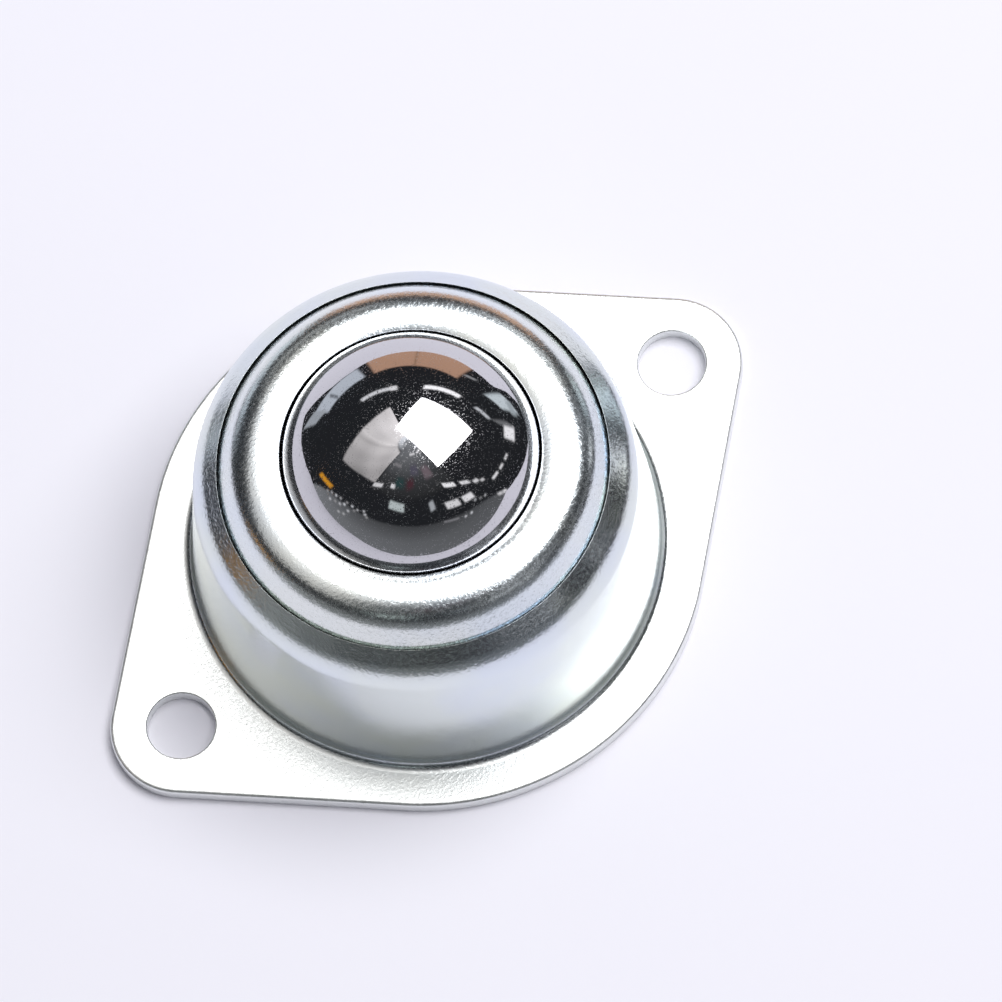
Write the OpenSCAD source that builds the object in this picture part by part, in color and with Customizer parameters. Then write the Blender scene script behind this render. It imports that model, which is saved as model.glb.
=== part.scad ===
// Ball transfer unit: a steel ball carried on small support balls inside a
// drawn sheet housing with a two-hole mounting flange.
// Origin: centre of the flange's underside. +Z up, +X through the two holes.

/* [Mounting flange] */
// Distance between the two mounting holes
hole_spacing = 58; // [55:0.5:66]
// Diameter of the mounting holes
hole_d = 6.4; // [4.5:0.1:7.5]
// Width of the flange at its waist, on each side of the housing wall
flange_margin = 4.06; // [2:0.01:8]
// Radius of the rounded ear about each hole
ear_r = 6.65; // [5.5:0.05:9]

/* [Housing shell] */
// Thickness of the housing and flange sheet
housing_t = 1.5; // [1.2:0.1:1.8]
// Room between the seat cup's bowl and the foot of the housing wall
wall_room = 2.3; // [2:0.01:4]
// Inward lean of the housing wall, in degrees
wall_draft = 4.8; // [4:0.1:6.5]
// Radius of the fillet between flange and wall
foot_r = 1; // [0.6:0.1:1.6]
// Outer radius of the rounded shoulder
shoulder_r = 4.7; // [3.6:0.1:5.4]
// Slope of the housing's top rim, in degrees
rim_slope = 45; // [40:1:50]
// Height of the housing's rim above the ball's centre
rim_rise = 1.15; // [0.8:0.05:1.5]

/* [Balls] */
// Diameter of the load ball
ball_d = 25.4; // [20:0.1:32]
// Diameter of the support balls
support_d = 3.969; // [3:0.001:5]
// Running clearance on each side of a support ball
ball_clear = 0.05; // [0.02:0.01:0.1]
// Play between neighbouring support balls
support_play = 0.05; // [0.02:0.01:0.2]

/* [Retaining cap] */
// Thickness of the cap's sheet
cap_t = 1.2; // [0.9:0.1:1.3]
// How far the opening's lip reaches in past the load ball's widest part
lip_cover = 0.6; // [0.3:0.05:1]
// Gap between the opening's lip and the load ball
lip_clear = 0.2; // [0.1:0.05:0.4]
// Rounding of the opening's lip
lip_r = 0.15; // [0.1:0.05:0.4]
// Radius of the cap's rounded corner
cap_corner_r = 3.3; // [2.4:0.1:3.8]
// Inward lean of the cap's side above the rim, in degrees
cap_lean = 27; // [18:1:30]
// How far the cap's skirt stands out past the seat cup's bowl
skirt_step = 1.28; // [0.7:0.01:1.5]
// Gap between the cap's skirt and the housing's rim
rim_gap = 0.1; // [0.05:0.05:0.6]
// Bend radius between skirt and brim
brim_bend_r = 0.5; // [0.3:0.1:0.8]

/* [Seat cup and base closure] */
// Thickness of the hardened seat cup
cup_t = 1.5; // [1.2:0.1:2]
// Height of the seat cup's lowest point above the underside
cup_lift = 2.33; // [2:0.01:4]
// Depth of the seat cup's brim below the ball's centre
cup_brim_drop = 3.75; // [3.5:0.05:4.2]
// Gap between the brims and the housing's inner face
brim_clear = 0.1; // [0.05:0.01:0.2]
// Thickness of the base closure's sheet
closure_t = 1.2; // [1:0.1:1.5]
// Radius of the dish in the base closure that carries the seat cup
dish_r = 8; // [6:0.5:10]
// Gap between the base closure and the housing wall, and the seat cup
closure_clear = 0.03; // [0.02:0.01:0.1]
// Height of the base closure's rim above the underside
closure_lift = 0.2; // [0:0.1:0.5]

/* [Hidden] */
$fn = 96;
// A cut runs this far past the face that it opens
over = 1;
// The flange plate laps the strip below the foot's fillet by this much
plate_lap = 0.3;
// The flange's straight sides run this far inside the arcs that they join
side_lap = 0.005;
// The cap's side starts to lean this far below the housing's rim
lean_start = 0.3;
// The opening's inner face flares this much away from the load ball
lip_flare = 0.08;

// Load ball, the sphere on which the support balls' centres lie, and the cup
ball_r = ball_d / 2;
support_r = support_d / 2;
track_r = ball_r + ball_clear + support_r;
cup_in_r = track_r + support_r + ball_clear;
cup_out_r = cup_in_r + cup_t;
ball_z = cup_out_r + cup_lift;
opening_r = ball_r - lip_cover;
skirt_r = cup_in_r + skirt_step;
body_r = cup_out_r + wall_room + housing_t;

// Rows of support balls: each row is one step further from the lowest ball
support_pitch = support_d + support_play;
row_step = asin(support_pitch / track_r);
// Balls loaded in each row, or as many as fit where the row is shorter
ROW_LOAD = [6, 11, 16, 20];
function row_angle(row) = row * row_step;
function row_fits(row) = floor(180 / asin(support_pitch / (2 * track_r * sin(row_angle(row)))));
function row_count(row) = min(ROW_LOAD[row - 1], row_fits(row));
function support_name(row, i) = str("support_ball_row", row, "_", i < 10 ? "0" : "", i);

// Housing: lines of the wall and of the rim slope, as distances from the origin
rim_r = skirt_r + rim_gap;
rim_z = ball_z + rim_rise;
wall_line = body_r * cos(wall_draft) + housing_t * sin(wall_draft);
rim_line = rim_r * cos(rim_slope) + rim_z * sin(rim_slope);
// Point where two lines at the angles a and b, at the distances p and q, cross
function crossing(a, p, b, q) = [p * sin(b) - q * sin(a), q * cos(a) - p * cos(b)] / sin(b - a);
function polar(r, a) = r * [cos(a), sin(a)];
shoulder_c = crossing(wall_draft, wall_line - shoulder_r, rim_slope, rim_line - shoulder_r);
// Radius of the wall's outer face, and of its inner face, at the height z
function wall_out_r(z) = (wall_line - z * sin(wall_draft)) / cos(wall_draft);
function wall_in_r(z) = (wall_line - housing_t - z * sin(wall_draft)) / cos(wall_draft);
// Inner radius of the housing at the height z, in the wall or in the shoulder
shoulder_in_r = shoulder_r - housing_t;
shoulder_in_z = shoulder_c.y + shoulder_in_r * sin(wall_draft);
function housing_in_r(z) =
  z < shoulder_in_z ? wall_in_r(z)
  : shoulder_c.x + sqrt(max(0, shoulder_in_r * shoulder_in_r - pow(z - shoulder_c.y, 2)));
// Centre of the fillet at the foot of the wall
foot_z = housing_t + foot_r;
foot_c = [wall_out_r(foot_z) + foot_r / cos(wall_draft), foot_z];
plate_in_r = foot_c.x + plate_lap;

// Cap: its top stands level with the lip, which clears the ball by lip_clear
cap_top_z = ball_z + sqrt(pow(ball_r + lip_clear, 2) - pow(opening_r, 2)) + lip_r;
lean_z = rim_z - lean_start;
lean_line = skirt_r * cos(cap_lean) + lean_z * sin(cap_lean);
cap_corner_z = cap_top_z - cap_corner_r;
cap_corner_c = [(lean_line - cap_corner_r - cap_corner_z * sin(cap_lean)) / cos(cap_lean), cap_corner_z];
skirt_in_r = skirt_r - cap_t;
lean_in_z = (lean_line - cap_t - skirt_in_r * cos(cap_lean)) / sin(cap_lean);
lip_low_z = cap_top_z - cap_t;
lip_low_r = sqrt(pow(ball_r + lip_clear + lip_flare, 2) - pow(lip_low_z - ball_z, 2));

// Brims of the cap and of the seat cup, one on the other
cup_rim_z = ball_z - cup_brim_drop;
cup_brim_r = housing_in_r(cup_rim_z) - brim_clear;
cap_brim_z = cup_rim_z + cap_t;
cap_brim_r = housing_in_r(cap_brim_z) - brim_clear;

// Base closure: its dish follows the seat cup's bowl, and its top lies level
dish_in_r = cup_out_r + closure_clear;
closure_top_z = ball_z - sqrt(dish_in_r * dish_in_r - dish_r * dish_r);
closure_rim_r = wall_in_r(closure_top_z) - closure_clear;

// Outline of the flange: a round waist and two ears, joined by their tangents
module flange_outline() {
  waist_r = body_r + flange_margin;
  ear_x = hole_spacing / 2;
  side_angle = acos((waist_r - ear_r) / ear_x);
  ear_touch = polar(ear_r - side_lap, side_angle);
  waist_touch = polar(waist_r - side_lap, side_angle);
  circle(r = waist_r);
  for (side = [-1, 1])
    translate([side * ear_x, 0])
      circle(r = ear_r);
  polygon([
    [ear_x + ear_touch.x, ear_touch.y], [waist_touch.x, waist_touch.y],
    [-waist_touch.x, waist_touch.y], [-ear_x - ear_touch.x, ear_touch.y],
    [-ear_x - ear_touch.x, -ear_touch.y], [-waist_touch.x, -waist_touch.y],
    [waist_touch.x, -waist_touch.y], [ear_x + ear_touch.x, -ear_touch.y]
  ]);
}

// Half section under the wall line, the shoulder and the rim slope; inset
// moves all three inwards by the sheet's thickness, top is where it ends
module shell_half_section(inset, low, top) {
  wall_touch = shoulder_c + polar(shoulder_r - inset, wall_draft);
  slope_touch = shoulder_c + polar(shoulder_r - inset, rim_slope);
  low_r = (wall_line - inset - low * sin(wall_draft)) / cos(wall_draft);
  top_r = (rim_line - inset - top * sin(rim_slope)) / cos(rim_slope);
  polygon([[0, low], [low_r, low], wall_touch, shoulder_c, slope_touch, [top_r, top], [0, top]]);
  translate(shoulder_c)
    circle(r = shoulder_r - inset);
}

// The fillet at the foot of the wall, with the strip of flange below it
module foot_half_section() {
  wall_touch = foot_c - polar(foot_r, wall_draft);
  difference() {
    polygon([
      wall_touch, [foot_c.x, housing_t], [plate_in_r + over, housing_t],
      [plate_in_r + over, 0], [body_r - over, 0], [body_r - over, wall_touch.y]
    ]);
    translate(foot_c)
      circle(r = foot_r);
  }
}

// What the rounded inner edge of the underside takes away
module foot_edge_half_section() {
  round_r = foot_r + housing_t;
  difference() {
    polygon([
      foot_c - polar(round_r, wall_draft), [foot_c.x, 0],
      [foot_c.x, -over], [wall_in_r(-over), -over]
    ]);
    translate(foot_c)
      circle(r = round_r);
  }
}

module housing_half_section() {
  rim_under_z = (rim_line - housing_t - rim_r * cos(rim_slope)) / sin(rim_slope);
  difference() {
    union() {
      shell_half_section(0, 0, rim_z);
      foot_half_section();
    }
    shell_half_section(housing_t, -over, rim_under_z);
    square([rim_r, rim_z + over]);
    foot_edge_half_section();
  }
}

module flange_housing() {
  color([0.80, 0.82, 0.85])
    difference() {
      union() {
        rotate_extrude()
          housing_half_section();
        difference() {
          linear_extrude(housing_t)
            flange_outline();
          translate([0, 0, -over])
            cylinder(r = plate_in_r, h = housing_t + 2 * over);
        }
      }
      for (side = [-1, 1])
        translate([side * hole_spacing / 2, 0, -over])
          cylinder(d = hole_d, h = housing_t + 2 * over);
    }
}

// Half section under the cap's top, corner and leaning side
module cap_half_section(inset, low) {
  corner_r = cap_corner_r - inset;
  lean_touch = cap_corner_c + polar(corner_r, cap_lean);
  side_r = skirt_r - inset;
  side_z = inset > 0 ? lean_in_z : lean_z;
  polygon([
    [0, low], [side_r, low], [side_r, side_z], lean_touch,
    cap_corner_c, [cap_corner_c.x, cap_top_z - inset], [0, cap_top_z - inset]
  ]);
  translate(cap_corner_c)
    circle(r = corner_r);
}

// The brim that the housing's shoulder holds down, with its bend
module brim_half_section() {
  bend_c = [skirt_r + brim_bend_r, cap_brim_z + brim_bend_r];
  translate([skirt_in_r, cup_rim_z])
    square([cap_brim_r - skirt_in_r, cap_t]);
  difference() {
    translate([skirt_in_r, cap_brim_z - cap_t / 2])
      square([bend_c.x - skirt_in_r, cap_t / 2 + brim_bend_r]);
    translate(bend_c)
      circle(r = brim_bend_r);
  }
}

// What the bend takes off the skirt's lower inner edge
module brim_edge_half_section() {
  round_r = brim_bend_r + cap_t;
  bend_c = [skirt_r + brim_bend_r, cap_brim_z + brim_bend_r];
  difference() {
    translate([skirt_in_r - over, cup_rim_z - over])
      square([round_r + over, round_r + over]);
    translate(bend_c)
      circle(r = round_r);
    translate([bend_c.x, cup_rim_z])
      square(round_r);
  }
}

// The opening with its rounded lip
module opening_half_section() {
  polygon([
    [0, lip_low_z - over], [lip_low_r, lip_low_z - over], [lip_low_r, lip_low_z],
    [opening_r, cap_top_z - lip_r], [opening_r, cap_top_z + over], [0, cap_top_z + over]
  ]);
  difference() {
    translate([opening_r - lip_r, cap_top_z - lip_r])
      square([2 * lip_r, lip_r + over]);
    translate([opening_r + lip_r, cap_top_z - lip_r])
      circle(r = lip_r);
  }
}

module retaining_cap() {
  color([0.83, 0.84, 0.87])
    rotate_extrude()
      difference() {
        union() {
          cap_half_section(0, cup_rim_z);
          brim_half_section();
        }
        cap_half_section(cap_t, cup_rim_z - over);
        brim_edge_half_section();
        opening_half_section();
      }
}

// Hardened cup in which the support balls run, open upwards, with a flat brim
module seat_cup() {
  brim_low_z = cup_rim_z - cup_t;
  color([0.60, 0.61, 0.64])
    difference() {
      union() {
        translate([0, 0, ball_z])
          sphere(r = cup_out_r);
        translate([0, 0, brim_low_z])
          cylinder(r = cup_brim_r, h = cup_t);
      }
      translate([0, 0, ball_z])
        sphere(r = cup_in_r);
      translate([0, 0, cup_rim_z])
        cylinder(r = cup_out_r + over, h = 2 * cup_out_r);
    }
}

// Pressed closure of the housing's base: a turned-down rim and a dished middle
module base_closure() {
  top_low_z = closure_top_z - closure_t;
  color([0.70, 0.72, 0.75])
    difference() {
      translate([0, 0, closure_lift])
        cylinder(r = closure_rim_r, h = closure_top_z - closure_lift);
      difference() {
        translate([0, 0, -over])
          cylinder(r = closure_rim_r - closure_t, h = top_low_z + over);
        translate([0, 0, ball_z])
          sphere(r = dish_in_r + closure_t);
      }
      translate([0, 0, ball_z])
        sphere(r = dish_in_r);
    }
}

module load_ball() {
  color([0.88, 0.89, 0.91])
    translate([0, 0, ball_z])
      sphere(r = ball_r);
}

// A support ball at an angle from the lowest point and a turn about the axis
module support_ball(angle, turn) {
  color([0.75, 0.76, 0.80])
    translate([
      track_r * sin(angle) * cos(turn),
      track_r * sin(angle) * sin(turn),
      ball_z - track_r * cos(angle)
    ])
      sphere(r = support_r);
}

flange_housing();
retaining_cap();
seat_cup();
base_closure();
load_ball();
support_ball(0, 0);  // support_ball_lowest
for (row = [1 : len(ROW_LOAD)])
  for (i = [1 : row_count(row)])
    support_ball(row_angle(row), (i - 1) * 360 / row_count(row));
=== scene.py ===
# %% [markdown]
# # A ball transfer unit
# Tables and conveyor decks are studded with these units, so that a heavy box can be pushed over
# them in any direction. A polished load ball stands out of a round pressed housing and rolls on a
# bed of small balls inside it. The solids of the unit are packed already, and they give every size
# and place. This notebook puts the looks on them: finer surfaces where the eye goes, the metal
# finishes, the light and the camera.

import bmesh
import bpy
import numpy as np
from mathutils import Matrix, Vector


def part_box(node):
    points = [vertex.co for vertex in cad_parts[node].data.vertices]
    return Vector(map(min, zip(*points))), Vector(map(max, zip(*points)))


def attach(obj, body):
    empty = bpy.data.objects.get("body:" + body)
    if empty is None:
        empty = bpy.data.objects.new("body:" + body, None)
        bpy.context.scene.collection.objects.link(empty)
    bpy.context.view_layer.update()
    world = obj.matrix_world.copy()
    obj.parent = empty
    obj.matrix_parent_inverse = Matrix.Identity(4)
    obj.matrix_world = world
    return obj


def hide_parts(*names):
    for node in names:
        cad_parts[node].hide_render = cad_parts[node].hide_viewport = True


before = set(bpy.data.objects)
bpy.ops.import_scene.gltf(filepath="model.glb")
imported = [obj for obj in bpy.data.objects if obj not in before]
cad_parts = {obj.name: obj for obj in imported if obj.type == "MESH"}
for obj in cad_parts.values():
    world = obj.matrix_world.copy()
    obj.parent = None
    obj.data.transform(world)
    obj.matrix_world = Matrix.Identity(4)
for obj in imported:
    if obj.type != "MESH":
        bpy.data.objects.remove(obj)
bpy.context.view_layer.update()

# %% [markdown]
# ## Sizes
# The pressed pieces are thin sheet, so a few radii, leans and thicknesses describe each of them.
# They are the same numbers that the solids were made with, in millimetres. The boxes of the solids
# give the heights, so nothing here has to be fitted by eye.

# %% Sizes in millimetres
MM = 0.001
ball_low, ball_high = (np.array(corner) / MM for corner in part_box("load_ball"))
ball_r = (ball_high[0] - ball_low[0]) / 2
ball_z = (ball_high[2] + ball_low[2]) / 2
cup_rim_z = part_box("seat_cup")[1].z / MM
cap_top_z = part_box("retaining_cap")[1].z / MM
cap_brim_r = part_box("retaining_cap")[1].x / MM

hole_spacing, hole_r = 58.0, 3.2
ear_r, waist_r = 6.65, 26.129
housing_t, foot_r, wall_draft = 1.5, 1.0, 4.8
shoulder_r, rim_slope, rim_rise = 4.7, 45.0, 1.15
body_r, skirt_r, rim_gap = 22.069, 18.049, 0.1
cap_t, cap_corner_r, cap_lean = 1.2, 3.3, 27.0
lip_r, lip_reach, lip_clear, brim_bend_r = 0.15, 0.6, 0.28, 0.5
print(f"load ball: radius {ball_r:.2f}, centre {ball_z:.2f} above the underside")
print(f"cap: top at {cap_top_z:.2f}, brim radius {cap_brim_r:.2f}")

# %% [markdown]
# ## Profiles, patches and pieces
# Everything on this unit is either turned round the ball's axis or punched out of flat sheet.
# A primitive with modifiers would do for a turned shape, but its rows of faces would not stand
# where the roundings are. So a profile is written down as points of radius and height, and one
# array product carries it round the axis. Patches that share an edge are welded into one mesh.

# %% Helpers for profiles
def polar(radius, angle):
    """The point at that radius and angle in degrees: radius times cosine and sine."""
    return radius * np.array([np.cos(np.radians(angle)), np.sin(np.radians(angle))])


def arc(centre, radius, start, end, step=4.0):
    """Points on a circle about centre, from one angle to the other, at most step degrees apart."""
    count = max(2, int(np.ceil(abs(end - start) / step)) + 1)
    angles = np.radians(np.linspace(start, end, count))
    return np.asarray(centre) + radius * np.column_stack([np.cos(angles), np.sin(angles)])


def line(start, end, steps=6, edge=0.03):
    """Points from start to end: even steps between two close rows that keep the ends crisp."""
    start, end = np.asarray(start, float), np.asarray(end, float)
    near = min(0.25, edge / max(np.linalg.norm(end - start), 1e-6))
    share = np.concatenate([[0], np.linspace(near, 1 - near, steps), [1]])
    return start + share[:, None] * (end - start)


def crossing(angle_a, far_a, angle_b, far_b):
    """Where two lines cross; each is square to its angle and that far from the origin."""
    a, b = np.radians(angle_a), np.radians(angle_b)
    x = far_a * np.sin(b) - far_b * np.sin(a)
    y = far_b * np.cos(a) - far_a * np.cos(b)
    return np.array([x, y]) / np.sin(b - a)


def joined(*runs):
    """The runs of points one after another, without the points that two runs share."""
    points = np.concatenate(runs)
    keep = np.ones(len(points), bool)
    keep[1:] = np.linalg.norm(np.diff(points, axis=0), axis=1) > 1e-6
    return points[keep]


print("a quarter circle has", len(arc((0, 0), 1, 0, 90)), "points")

# %% Helpers for meshes
TURN_COUNT = 540
TURNS = np.radians(np.arange(TURN_COUNT) * 360 / TURN_COUNT)


def turned(profile):
    """A profile of (radius, height) rows carried round Z: radius cos t, radius sin t, height."""
    r, z = profile[:, :1], profile[:, 1:]
    return np.stack([r * np.cos(TURNS), r * np.sin(TURNS), z + 0 * TURNS], axis=-1)


def at_height(points, height):
    """Flat points lifted to one height."""
    return np.concatenate([points, np.full((*points.shape[:-1], 1), height)], axis=-1)


def quads(rows, columns, round_rows=False, round_columns=True):
    """Corner numbers of the faces of a grid, which may close on itself in each direction."""
    i = np.arange(rows if round_rows else rows - 1)[:, None]
    j = np.arange(columns if round_columns else columns - 1)[None, :]
    down, right = (i + 1) % rows, (j + 1) % columns
    corners = [i * columns + j, i * columns + right, down * columns + right, down * columns + j]
    return np.stack(np.broadcast_arrays(*corners), axis=-1).reshape(-1, 4)


def placed(name, data):
    """A new object in the scene that shows the data."""
    thing = bpy.data.objects.new(name, data)
    bpy.context.scene.collection.objects.link(thing)
    return thing


def piece(name, grids, material, **closing):
    """Welds grids of points in mm into one smooth mesh with outward faces."""
    points = np.concatenate([grid.reshape(-1, 3) for grid in grids])
    starts = np.cumsum([0] + [grid.size // 3 for grid in grids])
    patches = [quads(*grid.shape[:2], **closing) + start for grid, start in zip(grids, starts)]
    rounded = np.round(points, 4)
    _, first, same = np.unique(rounded, axis=0, return_index=True, return_inverse=True)
    faces = same.reshape(-1)[np.concatenate(patches)]
    mesh = bpy.data.meshes.new(name)
    mesh.from_pydata((points[first] * MM).tolist(), [], faces.tolist())
    mesh.validate()
    shell = bmesh.new()
    shell.from_mesh(mesh)
    bmesh.ops.recalc_face_normals(shell, faces=shell.faces)
    open_edges = sum(not edge.is_manifold for edge in shell.edges)
    shell.to_mesh(mesh)
    shell.free()
    mesh.shade_smooth()
    mesh.materials.append(material)
    print(f"{name}: {len(mesh.polygons)} faces, {open_edges} open edges")
    return placed(name, mesh)


print(f"a turn has {TURN_COUNT} steps of {360 / TURN_COUNT:.3f} degrees")

# %% [markdown]
# ## Colours and nodes
# A material is a small network of nodes. Colours are picked as screen colours, such as #D7DBE0, and
# the shader works in linear light, so one function converts them. A second one adds any node with
# its settings and its links, and five short ones stand for the nodes that the recipes share.

# %% Helpers for colours and nodes
NOISE_LOW, NOISE_HIGH = 0.3, 0.7


def linear(hex_colour):
    """A screen colour as linear red, green, blue and an alpha of 1."""
    s = np.array([int(hex_colour[i : i + 2], 16) / 255 for i in (1, 3, 5)])
    return (*np.where(s <= 0.04045, s / 12.92, ((s + 0.055) / 1.055) ** 2.4), 1.0)


def add(tree, kind, inputs=(), **settings):
    """Adds a node of that kind; each input is a plain value or another node's output."""
    new = tree.nodes.new(kind)
    for key, value in settings.items():
        setattr(new, key, value)
    for key, value in dict(inputs).items():
        if isinstance(value, bpy.types.NodeSocket):
            tree.links.new(value, new.inputs[key])
        else:
            new.inputs[key].default_value = value
    return new


def noise(tree, place, size_mm, detail, **inputs):
    """Cloudy noise with clouds of about size_mm; nearly all of it is from NOISE_LOW to NOISE_HIGH."""
    inputs = {"Vector": place, "Scale": 1 / (size_mm * MM), "Detail": detail, **inputs}
    return add(tree, "ShaderNodeTexNoise", inputs).outputs["Fac"]


def ramp(tree, value, low, high, to_low=0.0, to_high=1.0):
    """Carries low to to_low and high to to_high, in a straight line between and level beyond."""
    inputs = {"Value": value, "From Min": low, "From Max": high, "To Min": to_low, "To Max": to_high}
    return add(tree, "ShaderNodeMapRange", inputs).outputs["Result"]


def total(tree, first, second):
    """The sum of two values."""
    return add(tree, "ShaderNodeMath", {0: first, 1: second}, operation="ADD").outputs[0]


def blend(tree, share, first, second):
    """A colour between first and second."""
    return add(tree, "ShaderNodeMix", {0: share, 6: first, 7: second}, data_type="RGBA").outputs[2]


def bump(tree, height, depth_mm, **inputs):
    """Normals of a surface that rises by depth_mm while the height goes from 0 to 1."""
    inputs = {"Height": height, "Distance": depth_mm * MM, "Strength": 1.0, **inputs}
    return add(tree, "ShaderNodeBump", inputs).outputs["Normal"]


def metal(name):
    """An empty material, its nodes, and a metallic shader joined to its output."""
    material = bpy.data.materials.new(name)
    material.use_nodes = True
    tree = material.node_tree
    tree.nodes.clear()
    shader = add(tree, "ShaderNodeBsdfPrincipled", {"Metallic": 1.0})
    add(tree, "ShaderNodeOutputMaterial", {"Surface": shader.outputs["BSDF"]})
    place = add(tree, "ShaderNodeTexCoord").outputs["Object"]
    return material, tree, shader, place


print("the screen colour #808080 is", round(linear("#808080")[0], 3), "in linear light")

# %% [markdown]
# ## Bright zinc on drawn steel
# The housing and the cap are drawn from cold-rolled sheet, plated with bright zinc and dipped in a
# clear blue passivate. Zinc gives a cool, pale, satin mirror: it still shows where a lamp and the
# dark room meet, but the meeting line is grainy, because the drawn sheet has a skin of grains about
# a third of a millimetre wide. The passivate is a film thinner than a wavelength, and it tints the
# metal faintly from a cool to a warmer grey. The flange was never stretched, so it keeps the duller
# surface of the flat blank. A picture of scratches would tie the finish to one piece; noise in the
# object's own coordinates fits every piece and never repeats.

# %% Zinc finish
TINT_MM, TINT_LOW, TINT_HIGH = 9.0, 0.38, 0.62
SKIN_MM, SKIN_DEPTH_MM = 2.6, 0.02
GRAIN_MM, GRAIN_LOW, GRAIN_HIGH = 0.3, 0.46, 0.74
GRAIN_ROUGHNESS = 0.04
BLANK_UP_TO_MM, DRAWN_FROM_MM, BLANK_METALLIC = 1.52, 1.7, 0.97


def zinc(name, cool, warm, roughness, grain_depth_mm, blank=None, blank_roughness=0.5):
    """Satin zinc: tints as wide as TINT_MM, a rolling skin of SKIN_MM and pimples of GRAIN_MM.

    Below BLANK_UP_TO_MM the flat blank can keep its own colour, its own roughness and a little
    white haze, which are gone at DRAWN_FROM_MM.
    """
    material, tree, shader, place = metal(name)
    grain = noise(tree, place, GRAIN_MM, 1.0, Roughness=0.6)
    tint = ramp(tree, noise(tree, place, TINT_MM, 2.0), TINT_LOW, TINT_HIGH)
    colour = blend(tree, tint, linear(cool), linear(warm))
    if blank:
        height = add(tree, "ShaderNodeSeparateXYZ", {"Vector": place}).outputs["Z"]
        drawn = ramp(tree, height, BLANK_UP_TO_MM * MM, DRAWN_FROM_MM * MM)
        colour = blend(tree, drawn, linear(blank), colour)
        roughness = ramp(tree, drawn, 0.0, 1.0, blank_roughness, roughness)
        haze = ramp(tree, drawn, 0.0, 1.0, BLANK_METALLIC, 1.0)
        tree.links.new(haze, shader.inputs["Metallic"])
    tree.links.new(colour, shader.inputs["Base Color"])
    waver = ramp(tree, grain, NOISE_LOW, NOISE_HIGH, -GRAIN_ROUGHNESS, GRAIN_ROUGHNESS)
    tree.links.new(total(tree, roughness, waver), shader.inputs["Roughness"])
    skin = bump(tree, noise(tree, place, SKIN_MM, 2.0), SKIN_DEPTH_MM)
    pimples = ramp(tree, grain, GRAIN_LOW, GRAIN_HIGH)
    tree.links.new(bump(tree, pimples, grain_depth_mm, Normal=skin), shader.inputs["Normal"])
    return material


housing_zinc = zinc(
    "bright_zinc_on_drawn_steel", "#DFE6EE", "#E4EAE8", 0.22, 0.007, blank="#ECEEED", blank_roughness=0.38
)
cap_zinc = zinc("bright_zinc_on_pressed_cap", "#E2E9EF", "#E9EDEB", 0.25, 0.008)
closure_zinc = zinc("dull_zinc_on_base_closure", "#C4C8CE", "#C9CAC8", 0.36, 0.008)
print("zinc finishes:", housing_zinc.name, cap_zinc.name, closure_zinc.name)

# %% [markdown]
# ## Ground and polished ball steel
# Bearing balls are through-hardened chromium steel, ground and lapped until they are mirrors. Steel
# is a darker mirror than zinc: it gives back about six tenths of the light. The finish is only a
# breath of uneven polish, so the roughness stays near zero and wavers a little. On the load ball
# lies some dust: a fine noise of which only the peaks count makes specks of a rougher skin.

# %% Ball steel
DUST_MM, DUST_LOW, DUST_HIGH = 0.14, 0.61, 0.67


def ball_steel(name, cool, warm, roughness, waver, polish_mm, dust=0.0):
    """Mirror steel with cloudy polish marks of about polish_mm, and rough specks of dust."""
    material, tree, shader, place = metal(name)
    cloud = noise(tree, place, polish_mm, 4.0)
    tree.links.new(blend(tree, cloud, linear(cool), linear(warm)), shader.inputs["Base Color"])
    rough = ramp(tree, cloud, NOISE_LOW, NOISE_HIGH, roughness - waver, roughness + waver)
    if dust:
        speck = noise(tree, place, DUST_MM, 1.0)
        rough = total(tree, rough, ramp(tree, speck, DUST_LOW, DUST_HIGH, 0.0, dust))
    tree.links.new(rough, shader.inputs["Roughness"])
    return material


load_ball_steel = ball_steel("lapped_ball_steel", "#CFCED1", "#CAC9CE", 0.03, 0.015, 3.0, dust=0.24)
support_ball_steel = ball_steel("ground_ball_steel", "#C4C4C8", "#BEBFC4", 0.10, 0.03, 0.6)
seat_steel = ball_steel("tumbled_hardened_steel", "#A6A6AA", "#96979C", 0.34, 0.08, 0.4)
print("steel finishes:", load_ball_steel.name, support_ball_steel.name, seat_steel.name)

# %% [markdown]
# ## The housing
# The housing starts as a flat disc of sheet and is drawn over a punch, so its thickness is the same
# all over, its wall leans in a little to let the punch go, and every bend has a radius. The rim was
# rolled in over the cap's brim and slopes at 45 degrees. The outline below runs up the outside,
# round the thin edge at the rim and down the inside. The seam to the cap is a hair wider than in
# the solids, so that it reads as a dark line from far away, as it does on the real unit.

# %% Housing: the turned part
SEAM_OPENING, RIM_EDGE = 0.06, 0.012
wall, slope = np.radians(wall_draft), np.radians(rim_slope)
wall_far = body_r * np.cos(wall) + housing_t * np.sin(wall)
rim_r, rim_z = skirt_r + rim_gap + SEAM_OPENING, ball_z + rim_rise
rim_far = rim_r * np.cos(slope) + rim_z * np.sin(slope)
shoulder_c = crossing(wall_draft, wall_far - shoulder_r, rim_slope, rim_far - shoulder_r)
shoulder_in_r = shoulder_r - housing_t
foot_z = housing_t + foot_r
foot_c = np.array([(wall_far - foot_z * np.sin(wall) + foot_r) / np.cos(wall), foot_z])
foot_out_r = foot_r + housing_t
foot_angle = 180 + wall_draft
slope_end = crossing(rim_slope, rim_far, 0, rim_r)
edge_set = RIM_EDGE * np.tan(np.radians((180 - rim_slope) / 2))
edge_start = slope_end - edge_set * polar(1, rim_slope + 90)
edge_c = edge_start - polar(RIM_EDGE, rim_slope)
under_end = crossing(rim_slope, rim_far - housing_t, 0, rim_r)
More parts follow.
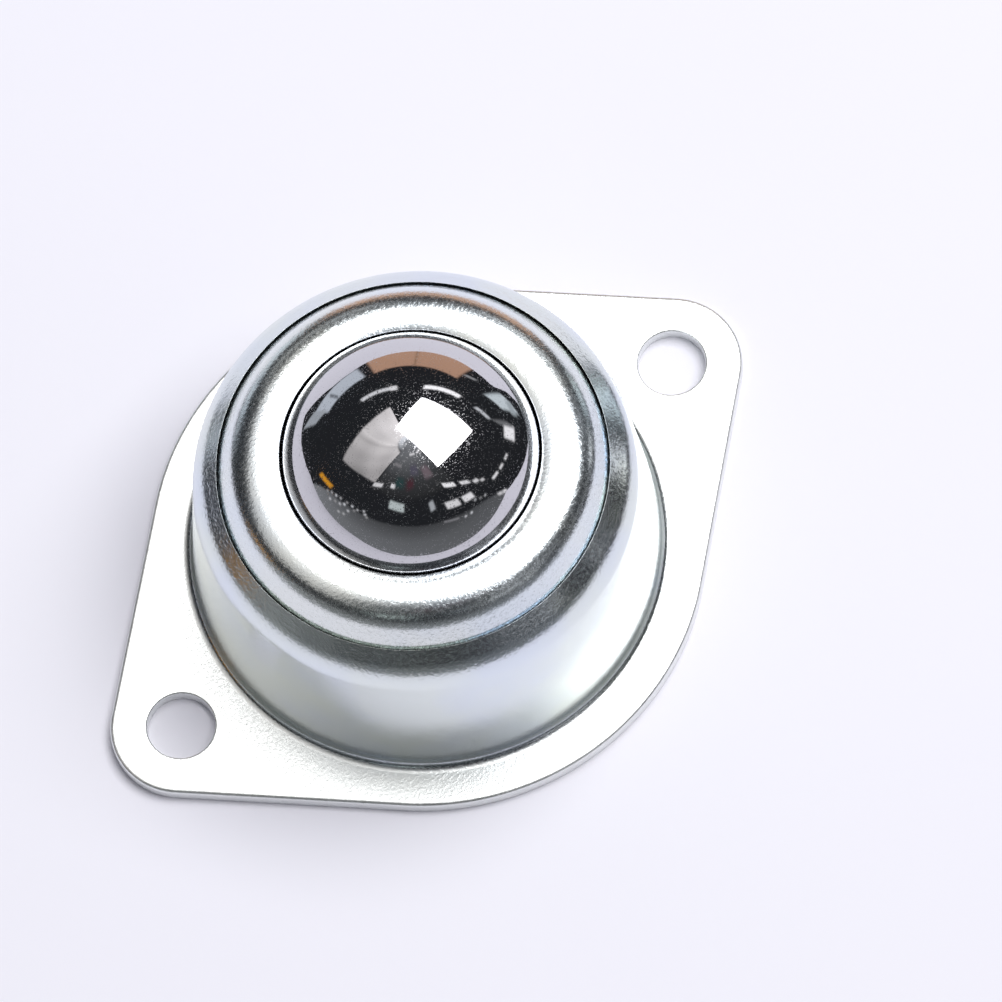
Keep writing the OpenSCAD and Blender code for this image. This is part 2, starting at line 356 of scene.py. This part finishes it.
housing_profile = joined(
    arc(foot_c, foot_r, 270, foot_angle),
    line(foot_c - polar(foot_r, wall_draft), shoulder_c + polar(shoulder_r, wall_draft), 14),
    arc(shoulder_c, shoulder_r, wall_draft, rim_slope, 2.5),
    line(shoulder_c + polar(shoulder_r, rim_slope), edge_start, 4),
    arc(edge_c, RIM_EDGE, rim_slope, 180, 22.5),
    line([rim_r, edge_c[1]], under_end, 3),
    line(under_end, shoulder_c + polar(shoulder_in_r, rim_slope), 3),
    arc(shoulder_c, shoulder_in_r, rim_slope, wall_draft, 8),
    line(shoulder_c + polar(shoulder_in_r, wall_draft), foot_c - polar(foot_out_r, wall_draft), 4),
    arc(foot_c, foot_out_r, foot_angle, 270, 8),
)
print(f"housing profile: {len(housing_profile)} rows, rim radius {rim_r:.2f} at height {rim_z:.2f}")

# %% [markdown]
# ## The flange
# The flange is what is left of the flat sheet. A punch cuts its outline, a round waist and two
# ears joined by straight tangents, and the two holes. A punch rolls the sheet's upper edge over by
# a tenth or two of a millimetre before it shears, and that soft edge is what catches the light, so
# the edge is drawn as its own profile carried along the outline. Boolean cuts would leave long thin
# faces that shade badly; here each area is a grid between an inner and an outer line.

# %% Flange: outline
HALF, CORNER = TURN_COUNT // 2, 42
EAR_STEPS = 150
ear_x = hole_spacing / 2
side_angle = np.degrees(np.arccos((waist_r - ear_r) / ear_x))


def outline(angles, centre_x, radius):
    """Arc about a centre up to the tangent's angle, then the tangent: radius / cos(t - side)."""
    t = np.radians(angles)
    side = np.radians(side_angle)
    over_tangent = np.abs(angles) > side_angle if centre_x else np.abs(angles) < side_angle
    away = np.where(over_tangent, radius / np.cos(np.abs(t) - side), radius)
    normal = np.where(over_tangent, np.sign(angles) * side, t)
    points = np.column_stack([centre_x + away * np.cos(t), away * np.sin(t)])
    return points, np.column_stack([np.cos(normal), np.sin(normal)])


def both_halves(ear, waist):
    """One ear and one side of the waist, and then both again after half a turn."""
    half = np.concatenate([ear[:-1], waist[:-1]])
    return np.concatenate([half, -half])


waist_angles = np.arange(CORNER, HALF - CORNER + 1) * 360 / TURN_COUNT
upper = waist_angles <= 90
waist_points, waist_normals = outline(np.where(upper, waist_angles, 180 - waist_angles), 0, waist_r)
waist_points[~upper, 0] *= -1
waist_normals[~upper, 0] *= -1
ear_turn = np.degrees(np.arctan2(waist_points[0, 1], waist_points[0, 0] - ear_x))
ear_points, ear_normals = outline(np.linspace(-ear_turn, ear_turn, EAR_STEPS), ear_x, ear_r)
edge_points = both_halves(ear_points, waist_points)
edge_normals = both_halves(ear_normals, waist_normals)
EAR, WAIST = len(ear_points) - 1, len(waist_points) - 1
print(f"outline: {len(edge_points)} points, tangents at {side_angle:.2f} degrees")

# %% Flange: faces with their holes
FLAT_SHARES = np.array([0, 0.02, 0.15, 0.3, 0.45, 0.6, 0.75, 0.88, 0.98, 1.0])[:, None, None]
ear_middle = np.array([ear_x, 0])
across = np.tan(TURNS[: CORNER + 1]) / np.tan(TURNS[CORNER])


def ear_loop(rim):
    """The line round one ear, closed by a chord on the body's side, and the chord's upper half."""
    chord = np.column_stack([np.full(CORNER + 1, rim[EAR, 0]), rim[EAR, 1] * across])
    return np.concatenate([rim[: EAR + 1], chord[-2::-1], chord[1:-1] * [1, -1]]), chord


ear_line, _ = ear_loop(edge_points)
hole_turns = np.arctan2(ear_line[:, 1], ear_line[:, 0] - ear_x)
hole_line = np.column_stack([np.cos(hole_turns), np.sin(hole_turns)])


def flat_face(height, edge_inset, hole_edge):
    """Rings of a flat face at one height: body to outline or chord, and each hole to its ear."""
    rim = edge_points - edge_inset * edge_normals
    loop, chord = ear_loop(rim)
    half = np.concatenate([chord, rim[EAR + 1 : EAR + WAIST], chord[:0:-1] * [-1, 1]])
    far = np.concatenate([half, -half])
    near = foot_c[0] * np.column_stack([np.cos(TURNS), np.sin(TURNS)])
    hole = ear_middle + (hole_r + hole_edge) * hole_line
    middle = near + FLAT_SHARES * (far - near)
    ear = hole + FLAT_SHARES * (loop - hole)
    return [at_height(flat, height) for flat in (middle, ear, -ear)]


EDGE_ROLL, EDGE_BURR, HOLE_ROLL, HOLE_BURR = 0.36, 0.06, 0.18, 0.06
flats = flat_face(housing_t, EDGE_ROLL, HOLE_ROLL) + flat_face(0.0, EDGE_BURR, HOLE_BURR)
print(f"flat faces: {len(flats)}, edge of a hole in {len(hole_line)} steps")

# %% Flange: sheared edges, and the whole housing
def edge_rows(roll, burr):
    """A sheared edge as (inset, height): rolled over by roll at the top, by burr at the bottom."""
    top = arc([roll, housing_t - roll], roll, 90, 180, 15)
    bottom = arc([burr, burr], burr, 180, 270, 30)
    return joined(top, line(top[-1], bottom[0], 3), bottom)


rim_strip = np.stack([
    at_height(edge_points - inset * edge_normals, height)
    for inset, height in edge_rows(EDGE_ROLL, EDGE_BURR)
])
bore = np.stack([
    at_height(ear_middle + (hole_r + inset) * hole_line, height)
    for inset, height in edge_rows(HOLE_ROLL, HOLE_BURR)
])
other_bore = bore * [-1, -1, 1]
grids = [turned(housing_profile), *flats, rim_strip, bore, other_bore]
housing = piece("drawn_housing", grids, housing_zinc)
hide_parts("flange_housing")
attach(housing, "housing")

# %% [markdown]
# ## The retaining cap
# The cap is a second pressing. It drops over the load ball, its opening is a little smaller than
# the ball, and its out-turned brim is trapped under the housing's shoulder. The lip of the opening
# is rounded so that it does not scrape the ball, and it shows as a thin line round the dark gap.

# %% Cap: a closed ring of sheet
ROLL_R, ROLL_TURN = 3.4, 18.0
LEAN_DROP = 0.3
lean = np.radians(cap_lean)
opening_r = ball_r - lip_reach
roll_x = opening_r + lip_r + (ROLL_R - lip_r) * np.sin(np.radians(ROLL_TURN))
roll_c = np.array([roll_x, cap_top_z - ROLL_R])
lip_c = roll_c + polar(ROLL_R - lip_r, 90 + ROLL_TURN)
lean_z = rim_z - LEAN_DROP
lean_far = skirt_r * np.cos(lean) + lean_z * np.sin(lean)
corner_z = cap_top_z - cap_corner_r
corner_c = np.array([(lean_far - cap_corner_r - corner_z * np.sin(lean)) / np.cos(lean), corner_z])
skirt_in_r = skirt_r - cap_t
lean_in_z = (lean_far - cap_t - skirt_in_r * np.cos(lean)) / np.sin(lean)
brim_z = cup_rim_z + cap_t
bend_c = np.array([skirt_r + brim_bend_r, brim_z + brim_bend_r])
lip_low_z = cap_top_z - cap_t
lip_low = np.array([np.sqrt((ball_r + lip_clear) ** 2 - (lip_low_z - ball_z) ** 2), lip_low_z])
cap_profile = joined(
    line(lip_low, [opening_r, lip_c[1]], 3),
    arc(lip_c, lip_r, 180, 90 + ROLL_TURN, 9),
    arc(roll_c, ROLL_R, 90 + ROLL_TURN, 90, 1.5),
    line([roll_c[0], cap_top_z], [corner_c[0], cap_top_z], 3),
    arc(corner_c, cap_corner_r, 90, cap_lean, 2.5),
    line(corner_c + polar(cap_corner_r, cap_lean), [skirt_r, lean_z], 3),
    line([skirt_r, lean_z], [skirt_r, bend_c[1]], 3),
    arc(bend_c, brim_bend_r, 180, 270, 15),
    line([bend_c[0], brim_z], [cap_brim_r, brim_z], 2),
    line([cap_brim_r, brim_z], [cap_brim_r, cup_rim_z], 2),
    line([cap_brim_r, cup_rim_z], [bend_c[0], cup_rim_z], 2),
    arc(bend_c, brim_bend_r + cap_t, 270, 180, 10),
    line([skirt_in_r, bend_c[1]], [skirt_in_r, lean_in_z], 3),
    line([skirt_in_r, lean_in_z], corner_c + polar(cap_corner_r - cap_t, cap_lean), 3),
    arc(corner_c, cap_corner_r - cap_t, cap_lean, 90, 8),
    line([corner_c[0], lip_low_z], lip_low, 3),
)[:-1]
cap = piece("pressed_retaining_cap", [turned(cap_profile)], cap_zinc, round_rows=True)
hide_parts("retaining_cap")
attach(cap, "housing")

# %% [markdown]
# ## The load ball
# A ball turned from a half circle has its faces crowded at two poles, and one of them would sit
# right on top, where the reflection is sharpest. Here six square grids are blown up onto the sphere
# instead: each point of a cube's face is divided by its length and times the radius. The tangent
# spreads the rows evenly, and no face stands out anywhere.

# %% Load ball: a cube blown up to a sphere
BALL_STEPS = 72
even = np.tan(np.linspace(-np.pi / 4, np.pi / 4, BALL_STEPS + 1))
u, v = np.meshgrid(even, even)
cube_faces = []
for axis in range(3):
    for side in (1, -1):
        cube = np.roll(np.stack([side * np.ones_like(u), u, v], axis=-1), axis, axis=-1)
        sphere = ball_r * cube / np.linalg.norm(cube, axis=-1, keepdims=True)
        cube_faces.append(sphere + [0, 0, ball_z])
load_ball = piece("lapped_load_ball", cube_faces, load_ball_steel, round_columns=False)
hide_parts("load_ball")
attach(load_ball, "load_ball")

# %% [markdown]
# ## What stays as it was packed
# The seat cup, the base closure and the support balls are plain true shapes already, so their
# solids stay and only get their finish.

# %% Finishes of the inner pieces
DRESSED = ("flange_housing", "retaining_cap", "load_ball")
FINISHES = {"seat_cup": seat_steel, "base_closure": closure_zinc}
for name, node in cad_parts.items():
    if name not in DRESSED:
        node.data.materials.clear()
        node.data.materials.append(FINISHES.get(name, support_ball_steel))
print("support balls:", sum(name.startswith("support_ball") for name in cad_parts))

# %% [markdown]
# ## The table and the room
# Polished metal has no look of its own: it shows the room. The unit stands on a pale table top in a
# dim workshop, under one large white softbox. A second, weaker panel is only a painted reflection on
# the glowing shell, not a lamp. The camera and the scattered light see a pale surround, while
# reflections see a painted workshop with its windows and roof lights. They are patches in azimuth and
# elevation, because only their direction matters. The camera hangs on an arm: the arm's foot is the
# spot it looks at, and three turns give its bearing.

# %% Camera
VIEW_AZIMUTH, VIEW_ELEVATION, VIEW_ROLL = -118.662, 68.617, -9.516
VIEW_DISTANCE, VIEW_SPOT = 1.12693, (0.00825, -0.00046, 0)
camera_data = bpy.data.cameras.new("camera")
camera_data.sensor_width = 36
camera_data.lens = 431.1
camera_data.clip_start, camera_data.clip_end = 0.05, 20
camera = placed("camera", camera_data)
camera.matrix_world = (
    Matrix.Translation(VIEW_SPOT)
    @ Matrix.Rotation(np.radians(VIEW_AZIMUTH + 90), 4, "Z")
    @ Matrix.Rotation(np.radians(90 - VIEW_ELEVATION), 4, "X")
    @ Matrix.Rotation(np.radians(VIEW_ROLL), 4, "Z")
    @ Matrix.Translation((0, 0, VIEW_DISTANCE))
)
bpy.context.scene.camera = camera
bpy.context.scene.view_settings.view_transform = "Standard"
print("camera at", [round(x, 3) for x in camera.location], "m, lens", camera_data.lens, "mm")

# %% Floor and paper sheet
ROOM_AZIMUTH = -117.6
FLOOR_REACH_M, FLOOR_HEIGHT_M = 4.0, -0.00004
PAPER = np.array([
    # azimuth in the room in degrees, reach in millimetres
    (-180, 343), (-168, 422), (-160, 600), (-149, 338), (-141, 150), (-133, 94), (-123, 114),
    (-118, 131), (-109, 208), (-104, 272), (-99, 450), (-89, 514), (-74, 508), (-59, 503),
    (-49, 434), (-44, 343), (-29, 225), (-15, 186), (0, 176), (15, 168), (30, 177), (45, 199),
    (60, 263), (66, 287), (69, 229), (74, 171), (79, 132), (88, 95), (97, 76), (106, 64),
    (120, 66), (126, 90), (129, 171), (131, 213), (140, 244), (150, 230), (165, 260),
])
card = bpy.data.materials.new("matt_white_laminate")
card.use_nodes = True
card_tree = card.node_tree
card_shader = card_tree.nodes["Principled BSDF"]
card_shader.inputs["Roughness"].default_value = 0.9
card_shader.inputs["Specular IOR Level"].default_value = 0.1
card_place = add(card_tree, "ShaderNodeTexCoord").outputs["Object"]
card_cloud = noise(card_tree, card_place, 60, 2.0)
card_tint = blend(card_tree, card_cloud, linear("#F0EFF8"), linear("#F3F2F9"))
card_tree.links.new(card_tint, card_shader.inputs["Base Color"])


def stage_mesh(name, points, faces, material, seen_by):
    """A mesh of the surroundings that only the named kinds of ray can see."""
    mesh = bpy.data.meshes.new(name)
    mesh.from_pydata(points.tolist(), [], faces.tolist())
    mesh.materials.append(material)
    thing = placed(name, mesh)
    for ray in ("camera", "diffuse", "glossy", "transmission", "shadow"):
        setattr(thing, "visible_" + ray, ray in seen_by)
    print(f"{name}: {len(faces)} faces, seen by {seen_by}")
    return thing


def sheet(name, azimuths, reach, height, seen_by):
    """A flat sheet facing up: a fan of triangles from the middle to a rim at azimuth and reach."""
    turns = np.radians(azimuths + ROOM_AZIMUTH)
    rim = np.column_stack([reach * np.cos(turns), reach * np.sin(turns)])
    i = np.arange(len(turns))
    fan = np.column_stack([np.zeros(len(i), int), i + 1, (i + 1) % len(i) + 1])
    return stage_mesh(name, at_height(np.concatenate([[[0, 0]], rim]), height), fan, card, seen_by)


sheet("paper_sheet", PAPER[:, 0], PAPER[:, 1] * MM, 0.0, ["glossy"])
sheet("floor", np.arange(0, 360, 5), FLOOR_REACH_M, FLOOR_HEIGHT_M, ["camera", "diffuse", "shadow"])

# %% Softbox
SOFTBOX_RADIANCE = 5.0
SOFTBOX = [(0.844, 0.697, 1.213), (0.996, -0.326, 0.762), (0.152, -0.570, 1.033), (0.000, 0.453, 1.483)]


def panel(name, corners, radiance):
    """A rectangle of light through four corners; power is radiance times pi times its area."""
    a, b, c, d = np.array(corners)
    across, down = b - a, d - a
    centre = (a + b + c + d) / 4
    normal = np.cross(across, down)
    if normal @ centre < 0:
        across, down, normal = down, across, -normal
    light = bpy.data.lights.new(name, "AREA")
    light.shape = "RECTANGLE"
    light.size, light.size_y = np.linalg.norm(across), np.linalg.norm(down)
    light.energy = radiance * np.pi * light.size * light.size_y
    thing = placed(name, light)
    x, z = across / np.linalg.norm(across), normal / np.linalg.norm(normal)
    turn = np.column_stack([x, np.cross(z, x), z])
    thing.matrix_world = Matrix.Translation(centre) @ Matrix(turn.tolist()).to_4x4()
    thing.visible_camera = False
    print(f"{name}: {light.size:.2f} by {light.size_y:.2f} m, {light.energy:.1f} W")


panel("softbox", SOFTBOX, SOFTBOX_RADIANCE)

# %% [markdown]
# ## What the metal reflects
# A room full of modelled lamps and cupboards would be slow, and nobody would see it directly. A
# picture of a real room would be quick, but tied to one place. Here the room is painted in numbers:
# one colour for each direction, laid on in soft patches, and carried by a large glowing shell.

# %% Reflected workshop: directions and soft shapes
STEP = 0.75
azimuth, elevation = np.meshgrid(np.arange(-180, 180, STEP), np.arange(-90, 90 + STEP, STEP))
glow = np.tile(linear("#282A2D")[:3], (*azimuth.shape, 1))


def soft_step(x):
    """Rises from 0 to 1 while x goes from -1 to 1, level at both ends."""
    t = np.clip((x + 1) / 2, 0, 1)
    return t * t * (3 - 2 * t)


def window(az, el, wide, high, slant=0.0, soft=0.8):
    """Share of a slanted rectangle about (az, el), given as half width and half height."""
    sideways = (azimuth - az + 180) % 360 - 180
    upward = elevation - el - slant * sideways
    return soft_step((wide - np.abs(sideways)) / soft) * soft_step((high - np.abs(upward)) / soft)


def band(low, high, soft=1.0):
    """Share of what lies between two lines, each given as (azimuth, elevation) corners."""
    lines = [np.interp(azimuth, *np.transpose(corners), left=-999, right=-999) for corners in (low, high)]
    inside = soft_step((elevation - lines[0]) / soft) * soft_step((lines[1] - elevation) / soft)
    return np.where(np.minimum(*lines) > -999, inside, 0.0)


def paint(share, colour, strength=1.0):
    """Lays a colour over the room: each direction moves towards it by its share."""
    glow[...] += share[..., None] * (strength * np.asarray(colour) - glow)


print("directions:", azimuth.size)

# %% Reflected workshop: walls, panel and bench
grey = np.array([0.95, 1.0, 1.04])
# the dim roof in front of the unit, a little lighter towards the top
dim = np.interp(elevation, [45, 60, 66, 74, 80], [0.035, 0.065, 0.11, 0.17, 0.22])
paint(window(-5, 68, 50, 24, soft=3.0), dim[..., None] * grey)
# the ceiling round the very top, with a darker spot straight overhead
ceiling_at = [-180, -150, -110, -70, -50, 30, 90, 180]
ceiling = np.interp(azimuth, ceiling_at, [1.2, 1.2, 0.9, 0.4, 0.22, 0.25, 0.4, 0.9])
paint(soft_step((elevation - 81.5) / 1.5), ceiling[..., None] * grey)
paint(soft_step((elevation - 86) / 1.5), 0.3 * grey)

# the second panel, a painted reflection and no lamp: pale cloth that sags in soft folds, with one crease
panel_low = [
    (-165, 54), (-150, 54), (-135, 52), (-120, 47.5), (-110, 43), (-100, 36), (-96, 33),
    (-90, 36), (-85, 38.5), (-75, 43), (-65, 46), (-56, 48),
]
panel_high = [(-165, 83), (-56, 80)]
cloth = np.interp(azimuth, [-165, -155, -120, -70, -55], [1.15, 1.05, 0.88, 0.66, 0.62])
cloth += 0.012 * (elevation - 62)
cloth += 0.05 * np.sin(np.radians(7 * azimuth + 11 * elevation))
cloth += 0.03 * np.sin(np.radians(15 * azimuth - 17 * elevation))
crease = azimuth + 112 - 0.9 * (elevation - 62)
cloth += 0.12 * np.exp(-((crease / 2.5) ** 2)) - 0.10 * np.exp(-(((crease - 8) / 3) ** 2))
paint(band(panel_low, panel_high), cloth[..., None] * [1.02, 0.99, 0.97])

# the bench that the unit stands on, which falls off into the dark towards its far edge
bench_low = [(-93, -89), (70, -89)]
bench_high = [
    (-93, -1), (-88, 5), (-80, 11), (-65, 16), (-50, 19), (-30, 20.5), (-10, 20.5),
    (10, 19.5), (25, 17.5), (40, 13.5), (50, 10), (58, 5), (66, -2), (70, -6),
]
bench = np.interp(elevation, [-5, 5, 12, 19], [0.19, 0.17, 0.125, 0.085])
bench *= np.interp(azimuth, [-88, -60, 0, 45, 60], [1.5, 1.25, 1.0, 0.85, 0.75])
paint(band(bench_low, bench_high, 1.4), bench[..., None] * grey)
print(f"room: darkest {glow.min():.3f}, brightest {glow.max():.3f}")

# %% Reflected workshop: cupboards, windows and roof lights
THINGS = [
    # azimuth, elevation, half width, half height, slant, soft edge, colour, strength
    (167.5, 3.3, 24.5, 11.2, 0.0, 1.0, "#D0A68B", 1.0),
    (168.7, 3.3, 0.4, 11.2, 0.0, 0.8, "#A08068", 1.0),
    (-148, 4, 14.5, 7.5, -0.12, 1.0, "#DBE4EE", 0.95),
    (-131, -3, 4, 7, -0.9, 1.0, "#D9E1E8", 0.7),
    (-144, 5, 1, 5, 1.2, 0.8, "#8A9098", 0.8),
    (102, -1, 4.5, 5.5, -0.3, 1.2, "#FFFFFF", 1.3),
    (107, 3, 1.5, 8, 2.0, 1.5, "#9A9C9E", 0.7),
    (121, -6, 5, 9, 0.9, 1.6, "#E8F4F8", 1.0),
    (118, -13, 4, 3, 0.0, 1.4, "#D0DCE0", 0.8),
    (139, 4, 3, 1.5, 0.6, 1.0, "#C0C2C4", 0.7),
    (-163, 35, 14, 1.7, -0.2, 0.9, "#F2F4F6", 1.1),
    (-176, 37.5, 3, 2.2, -0.1, 0.9, "#FFFFFF", 1.1),
    (145, 33, 14, 2.0, 0.3, 0.9, "#FFFFFF", 1.6),
    (114, 20, 5, 1.8, 0.7, 1.1, "#D8DCE0", 1.1),
    (-24, 37, 7.5, 3.5, -0.1, 1.1, "#DCE8E6", 0.95),
    (-51, 48, 5, 1.8, 0.35, 1.0, "#FFFFFF", 1.0),
    (-33, 53, 3, 1.9, 0.0, 1.1, "#FFFFFF", 1.1),
    (11, 35, 2.5, 4, 0.3, 1.2, "#C8CED2", 0.9),
    (29, 28, 6, 3.2, -0.3, 1.0, "#FFFFFF", 1.0),
    (43, 23.5, 4.5, 3, -0.35, 1.0, "#FFFFFF", 1.15),
    (36.5, 43, 5.5, 2.2, -0.55, 0.9, "#FFFFFF", 1.3),
    (50, 34, 3.5, 1.8, -0.8, 0.9, "#FFFFFF", 1.2),
    (57.5, 26.5, 2.0, 1.8, -0.6, 0.8, "#FFFFFF", 1.0),
    (61.5, 21.5, 1.5, 1.4, -0.6, 0.8, "#FFFFFF", 0.8),
    (70, 11.5, 3.2, 1.2, -0.4, 0.8, "#FFFFFF", 1.1),
    (78, 8, 2.2, 1.1, -0.4, 0.8, "#FFFFFF", 1.0),
    (85.5, 4.5, 2.2, 1.1, -0.5, 0.8, "#FFFFFF", 1.0),
    (62.5, 0, 1.5, 1.6, -0.9, 0.8, "#FFFFFF", 0.9),
    (66, -3.5, 1.5, 1.6, -0.9, 0.8, "#FFFFFF", 1.1),
    (-89, 11.5, 6.5, 1.9, 0.45, 0.9, "#FEB235", 0.9),
    (6, 81, 14, 0.9, 0.0, 0.9, "#FFFFFF", 1.0),
    (45, 80.5, 14, 0.9, 0.0, 0.9, "#FFFFFF", 0.9),
    (-38, 70.5, 9, 1.2, 0.0, 1.2, "#A8A6A8", 0.8),
    (-25, 57, 6, 4, 0.0, 3.0, "#364F4F", 1.0),
    (-9, 57, 5, 4, 0.3, 3.0, "#583840", 1.0),
    (22, 63, 7, 5, 0.0, 3.0, "#82747A", 1.0),
    (0, 68, 8, 4, 0.0, 3.0, "#62606E", 1.0),
    (22, 16, 6, 0.9, -0.3, 0.8, "#C8C8CC", 0.5),
]
for az, el, wide, high, slant, soft, colour, strength in THINGS:
    paint(window(az, el, wide, high, slant, soft), linear(colour)[:3], strength)
SPARKS = [
    (-83, 9), (-80, 12), (-78, 7), (-76, 14), (-74, 10), (-72, 16), (-70, 12), (-67, 15),
    (-66, 18), (-64, 8), (-62, 13), (-61, 19), (-58, 17), (-56, 19.5), (-51, 22), (-49, 20),
    (-47, 18.5), (-68, 6), (33, 12), (38, 11), (50, 14), (54, 12), (46, 17),
]
for i, (az, el) in enumerate(SPARKS):
    paint(window(az, el, 0.9, 0.8, 0.0, 1.0), 0.5 + 0.2 * (i % 4) * grey)
print("things reflected:", len(THINGS), "and small lights:", len(SPARKS))

# %% Reflected workshop: the shell that carries them
SHELL_M = 3.0
a, e = np.radians(azimuth + ROOM_AZIMUTH), np.radians(elevation)
directions = np.stack([np.cos(e) * np.cos(a), np.cos(e) * np.sin(a), np.sin(e)], axis=-1)
workshop = bpy.data.materials.new("reflected_workshop")
workshop.use_nodes = True
workshop_tree = workshop.node_tree
workshop_tree.nodes.clear()
colours = add(workshop_tree, "ShaderNodeAttribute", attribute_name="glow")
shine = add(workshop_tree, "ShaderNodeEmission", {"Color": colours.outputs["Color"], "Strength": 1.0})
add(workshop_tree, "ShaderNodeOutputMaterial", {"Surface": shine.outputs["Emission"]})
workshop.cycles.emission_sampling = "NONE"
shell_points = SHELL_M * directions.reshape(-1, 3)
shell = stage_mesh("workshop_shell", shell_points, quads(*azimuth.shape), workshop, ["glossy"])
opaque_glow = np.concatenate([glow, np.ones((*azimuth.shape, 1))], axis=-1).astype(np.float32)
point_colours = shell.data.color_attributes.new("glow", "FLOAT_COLOR", "POINT")
point_colours.data.foreach_set("color", opaque_glow.ravel())

# %% Surround
world = bpy.data.worlds.new("pale_surround")
bpy.context.scene.world = world
world.use_nodes = True
around = world.node_tree
around.nodes.clear()
path = add(around, "ShaderNodeLightPath")
seen_colour = blend(around, path.outputs["Is Camera Ray"], linear("#84848A"), linear("#F4F3FA"))
surround = add(around, "ShaderNodeBackground", {"Color": seen_colour, "Strength": 1.0})
add(around, "ShaderNodeOutputWorld", {"Surface": surround.outputs["Background"]})
print("camera sees a pale surround; scattered light comes from a grey one")
